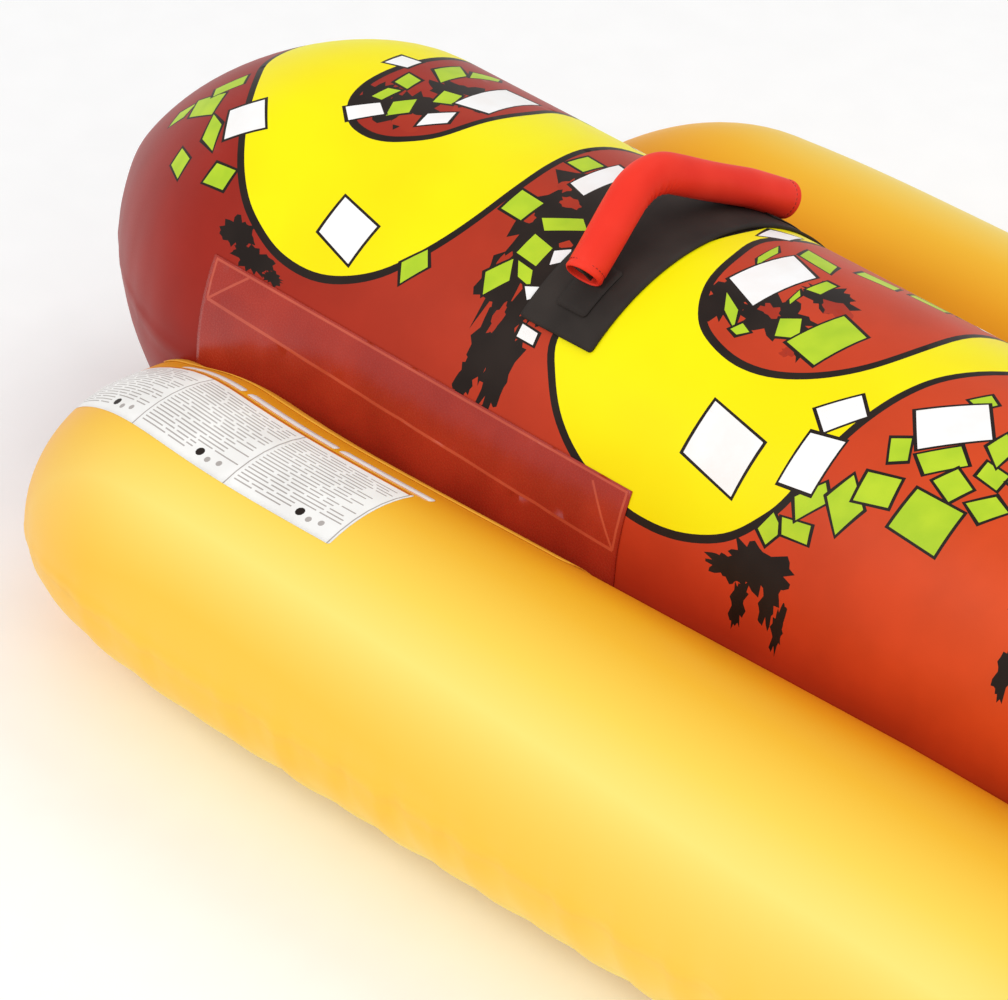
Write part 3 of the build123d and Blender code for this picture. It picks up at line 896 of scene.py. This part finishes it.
def arch_route():
    """Middle line of a grip in its own plane, from past the right foot to past the left one."""
    (a_in, a_up, a_bend), (b_in, b_up, b_bend) = grip_corners
    stops = np.array([
        (-foot_half, 0), (a_in - foot_half, a_up), (foot_half - b_in, b_up), (foot_half, 0),
    ])
    line = [stops[0] + unit(stops[0] - stops[1]) * sleeve_past_foot]
    for i, bend in ((1, a_bend), (2, b_bend)):
        back, ahead = unit(stops[i - 1] - stops[i]), unit(stops[i + 1] - stops[i])
        half = math.acos(float(np.clip(back @ ahead, -1, 1))) / 2
        reach = bend / math.tan(half)
        centre = stops[i] + unit(back + ahead) * bend / math.sin(half)
        start, stop = stops[i] + back * reach - centre, stops[i] + ahead * reach - centre
        sweep = math.atan2(start[0] * stop[1] - start[1] * stop[0], start @ stop)
        for k in range(bend_steps + 1):
            turn = sweep * k / bend_steps
            line.append(centre + (
                start[0] * math.cos(turn) - start[1] * math.sin(turn),
                start[0] * math.sin(turn) + start[1] * math.cos(turn),
            ))
    line.append(stops[3] + unit(stops[3] - stops[2]) * sleeve_past_foot)
    line = np.array(line)
    run = np.concatenate([[0], np.cumsum(np.linalg.norm(np.diff(line, axis=0), axis=1))])
    places = np.linspace(0, run[-1], round(run[-1] / grip_step) + 1)
    points = np.stack([np.interp(places, run, line[:, k]) for k in (0, 1)], 1)
    for _ in range(3):
        points[1:-1] = (points[:-2] + points[1:-1] * 2 + points[2:]) / 4
    return places, points


grip_run, grip_line = arch_route()
grip_tangent = unit(np.gradient(grip_line, grip_run, axis=0))
grip_outward = np.stack([-grip_tangent[:, 1], grip_tangent[:, 0]], 1)
grip_bending = -np.gradient(np.unwrap(np.arctan2(grip_tangent[:, 1], grip_tangent[:, 0])), grip_run)
grip_bending = np.clip(grip_bending / grip_bending.max(), 0, 1)


def grip_place(offset):
    """Turns points in a grip's plane (and off it) into places on the object."""
    swell = tube_radius * (float(tube_swell(np.array(offset))) - 1)
    up = np.array([0, math.sin(tube_roll), math.cos(tube_roll)])
    across = np.array([0, math.cos(tube_roll), -math.sin(tube_roll)])
    rise = up * math.cos(grip_lean) + np.array([-1, 0, 0]) * math.sin(grip_lean)
    off = np.cross(across, rise)
    origin = np.array([rear_x / MM + offset, 0, tube_radius]) + up * (foot_height + swell)
    return lambda u, v, w: (origin + np.multiply.outer(u, across) + np.multiply.outer(v, rise)
                            + np.multiply.outer(w, off)) * MM


def grip_ring(place, i, out, side):
    """A ring round the grip's line at step i: steps outwards from the bend and sideways."""
    u, v = (grip_line[i, k] + out * grip_outward[i, k] for k in (0, 1))
    return place(u, v, side)


def sleeve(name, place):
    """The neoprene sleeve: gathered inside the tight bend, with a turned hem at each end."""
    ring = np.linspace(0, TURN, round_steps, endpoint=False)
    inner_side = np.clip(-np.cos(ring), 0, 1)
    count = len(grip_run)
    rings = []
    start = np.random.default_rng(4).uniform(0, 6)
    gather = np.sin(TURN * grip_run / gather_pitch + 2.2 * np.sin(TURN * grip_run / 47) + start)
    for i in range(count):
        end = min(grip_run[i], grip_run[-1] - grip_run[i])
        fold = gather_depth * gather[i] * grip_bending[i] * inner_side**1.2
        slow = 0.35 * np.sin(3 * ring + grip_run[i] / 19) + 0.3 * np.sin(2 * ring - grip_run[i] / 31)
        hemmed = 0.9 * hump(end, sleeve_hem, 1.6)
        lip = 1.6 * max(0, 1 - end / 2.0) ** 2
        r = grip_radius + fold + slow - hemmed - lip
        rings.append(grip_ring(place, i, r * np.cos(ring), r * np.sin(ring)))
    for i in range(count - 1, -1, -1):
        end = min(grip_run[i], grip_run[-1] - grip_run[i])
        r = np.full(round_steps, grip_radius - grip_cover - 0.4 * (1 - min(1, end / 4)))
        r = r + min(1, end / 4) * 0.5 * gather[i] * grip_bending[i] * inner_side
        rings.append(grip_ring(place, i, r * np.cos(ring), r * np.sin(ring)))
    return loft(name, rings, [neoprene_red], joined=True)


def foam_half(name, place, side):
    """Half of the split foam rod, on one side of the webbing."""
    turn = np.linspace(0, math.pi, 16)
    out = foam_radius * np.cos(turn) * foam_slack
    off = side * (foam_flat + (foam_radius - foam_flat) * np.sin(turn)) * foam_slack
    rings = [grip_ring(place, i, out, off) for i in range(3, len(grip_run) - 3, 2)]
    return loft(name, rings, [foam_grey])


def strap_core(name, place):
    """Flat webbing through the middle of the grip."""
    out = np.array([12.5, 12.1, -12.1, -12.5, -12.5, -12.1, 12.1, 12.5])
    off = np.array([0.7, 1.25, 1.25, 0.7, -0.7, -1.25, -1.25, -0.7])
    rings = [grip_ring(place, i, out, off) for i in range(1, len(grip_run) - 1, 2)]
    return loft(name, rings, [webbing_black])


def stitches(name, spots, ways, normals, length, material):
    """Short sewn stitches lying along their way."""
    vertices, faces = [], []
    for spot, way, normal in zip(spots, ways, normals):
        way = unit(way)
        side = unit(np.cross(normal, way))
        first = len(vertices)
        for along, size in ((-1, 0.35), (-0.6, 1), (0.6, 1), (1, 0.35)):
            for k in range(6):
                turn = TURN * k / 6
                off = side * math.cos(turn) + normal * math.sin(turn)
                vertices.append(spot + (way * along * length / 2 + off * thread_radius * size) * MM)
        for ring in range(3):
            for k in range(6):
                a, b = first + ring * 6 + k, first + ring * 6 + (k + 1) % 6
                faces.append((a, b, b + 6, a + 6))
        faces.append(tuple(range(first, first + 6)))
        faces.append(tuple(range(first + 18, first + 24)))
    return make_piece(name, vertices, faces, [material])


def sewn_line(name, surface, corners, lift, pitch, material):
    """Stitches along a closed line laid on a surface."""
    line = divided(np.array(corners, float), pitch)
    spots = raised(surface, *line.T, lift)
    ways = np.roll(spots, -1, 0) - spots
    normals = unit(raised(surface, *line.T, lift + 2) - spots)
    return stitches(name, spots + ways * 0.5, ways, normals, pitch * 0.62, material)


for end, offset in handle_offsets.items():
    pad = laid_sheet(
        f"{end}_handle_pad_neoprene", sausage_surface,
        rounded_box(offset - pad_width / 2, offset + pad_width / 2, -pad_half, pad_half, 4),
        lay_gap, pad_sheet, [neoprene_black],
    )
    hand_over(pad, "root", "pad_neoprene", f"{end}_handle_pad")
    for foot, way in (("right", 1), ("left", -1)):
        middle = way * foot_angle * tube_radius
        box = (offset - anchor_width / 2, offset + anchor_width / 2,
               middle - anchor_length / 2, middle + anchor_length / 2)
        anchor = laid_sheet(
            f"{end}_handle_anchor_{foot}", sausage_surface, rounded_box(*box, 4),
            anchor_lift, anchor_sheet, [neoprene_black],
        )
        hand_over(anchor, "root", "webbing", f"{end}_handle_anchors")
        sewn = sewn_line(
            f"{end}_handle_anchor_{foot}_stitches", sausage_surface,
            rounded_box(box[0] + 4, box[1] - 4, box[2] + 4, box[3] - 4, 3, 2),
            anchor_lift + anchor_sheet, anchor_stitch, thread_grey,
        )
        hand_over(sewn, "root", "webbing")
    place = grip_place(offset)
    body = f"{end}_grip"
    cover = hand_over(sleeve(f"{end}_grip_sleeve", place), body, "grip_neoprene",
                      f"{end}_grip_cover")
    for half, side in (("front", 1), ("rear", -1)):
        foam = foam_half(f"{end}_grip_foam_{half}", place, side)
        hand_over(foam, body, "foam", f"{end}_grip_foam")
    core = hand_over(strap_core(f"{end}_grip_strap", place), body, "webbing", f"{end}_grip_webbing")
    spots, ways, normals = [], [], []
    for i in (4, len(grip_run) - 5):
        axis, onward = (grip_ring(place, k, 0.0, 0.0) for k in (i, i + 1))
        for turn in np.linspace(0, TURN, 26, endpoint=False):
            r = grip_radius - 0.75
            here = grip_ring(place, i, r * math.cos(turn), r * math.sin(turn))
            spots.append(here)
            normals.append(unit(here - axis))
            ways.append(np.cross(normals[-1], onward - axis))
    hem = stitches(f"{end}_grip_hem_stitches", spots, ways, normals, hem_stitch, thread)
    hand_over(hem, body, "grip_neoprene")

# ---- Tow point: patches and a strap over the nose ----
nose_gap = 14
tow_patch_sheet = 1.3
for name, way in (("upper", 1), ("lower", -1)):
    outline = rounded_box(nose_gap, 262, -60, 60, 28)
    outline[:, 0] *= way
    patch = laid_sheet(
        f"tow_{name}_patch_film", nose_surface, outline, lay_gap, tow_patch_sheet, [flap_red], step=8,
    )
    hand_over(patch, "root", "red_sheet", f"tow_{name}_patch")
wire_radius = 4
bar_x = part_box("tow_ring")[1].x / MM - wire_radius
loop_inner = 4.6
strap_sheet = 2.6
strap_lift = 2 * lay_gap + tow_patch_sheet
strap_across = np.linspace(-19, 19, 9)


def strap_on_nose(a, b, lift):
    return raised(nose_surface, np.full(len(b), a), b, strap_lift + lift, -1)


def strap_round_bar(turn, b, lift):
    x = bar_x + (loop_inner + lift) * math.cos(turn)
    z = tube_radius + (loop_inner + lift) * math.sin(turn)
    return np.stack([np.full(len(b), x), b, np.full(len(b), z)], 1) * MM


def strap_rows(place, steps):
    """Sections of the strap: the lower face from left to right, and the upper face back."""
    return [
        np.concatenate([place(at, strap_across, 0.0), place(at, strap_across[::-1], strap_sheet)])
        for at in steps
    ]


strap_rings = strap_rows(strap_on_nose, np.arange(215, 22, -5.0))
strap_rings += strap_rows(strap_round_bar, np.radians(np.linspace(150, -150, 15)))
strap_rings += strap_rows(strap_on_nose, np.arange(-25, -216, -5.0))
tow_strap = loft("tow_strap_webbing", strap_rings, [webbing_black])
hand_over(tow_strap, "root", "webbing", "tow_strap")

# ---- Moulded and metal parts keep their CAD shapes ----
finishes = {"valve_base": valve_white, "valve_throat": valve_white, "valve_spider": valve_white,
            "valve_disc": valve_rubber, "valve_cap": valve_cap_plastic, "tow_ring": steel}
for node_name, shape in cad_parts.items():
    for ending, finish in finishes.items():
        if node_name.endswith(ending):
            shape.data.materials.clear()
            shape.data.materials.append(finish)

scene.view_settings.view_transform = "Standard"

# ---- Stage, light and camera ----
floor_half, floor_z = 8, -0.002
floor = make_piece(
    "floor",
    [(floor_half * x, floor_half * y, floor_z) for x, y in ((-1, -1), (1, -1), (1, 1), (-1, 1))],
    [(0, 1, 2, 3)],
    [plain("stage_white_paper", "#fdfdfd", "#fbfbfb", roughness=0.9, grain_mm=20, bump=0.0,
           Emission_Color=(1, 1, 1, 1), Emission_Strength=0.07)],
)

world = bpy.data.worlds.new("studio")
scene.world = world
world.use_nodes = True
background = world.node_tree.nodes["Background"]
background.inputs["Color"].default_value = colour("#ffffff")
background.inputs["Strength"].default_value = 0.68


def softbox(name, place, target, size, watts):
    light = bpy.data.lights.new(name, "AREA")
    light.shape = "RECTANGLE"
    light.size, light.size_y = size
    light.energy = watts
    lamp = bpy.data.objects.new(name, light)
    scene.collection.objects.link(lamp)
    lamp.location = place
    aim = Vector(target) - Vector(place)
    lamp.rotation_euler = aim.to_track_quat("-Z", "Y").to_euler()


softbox("key", (-1.2, -4.2, 4.2), (0, -0.2, 0.2), (3.0, 2.4), 85)
softbox("fill", (4.2, -1.6, 3.0), (0.2, -0.2, 0.2), (2.6, 2.0), 30)
softbox("top", (0.4, 1.8, 4.5), (0, 0.1, 0.3), (3.2, 2.0), 30)

camera_data = bpy.data.cameras.new("studio_camera")
camera_data.lens = 150
camera_data.sensor_width = 36
camera_data.clip_end = 100
camera = bpy.data.objects.new("studio_camera", camera_data)
scene.collection.objects.link(camera)
camera_place = (2.068, -2.557, 2.428)
azimuth, elevation, tilt = (math.radians(v) for v in (45.383, 33.242, 0.365))
look = Vector((
    -math.sin(azimuth) * math.cos(elevation),
    math.cos(azimuth) * math.cos(elevation),
    -math.sin(elevation),
))
right = Vector((math.cos(azimuth), math.sin(azimuth), 0))
up = right.cross(look)
camera_right = right * math.cos(tilt) + up * math.sin(tilt)
camera_up = up * math.cos(tilt) - right * math.sin(tilt)
turned = Matrix((camera_right, camera_up, -look)).transposed().to_4x4()
camera.matrix_world = Matrix.Translation(camera_place) @ turned
bpy.context.scene.camera = camera
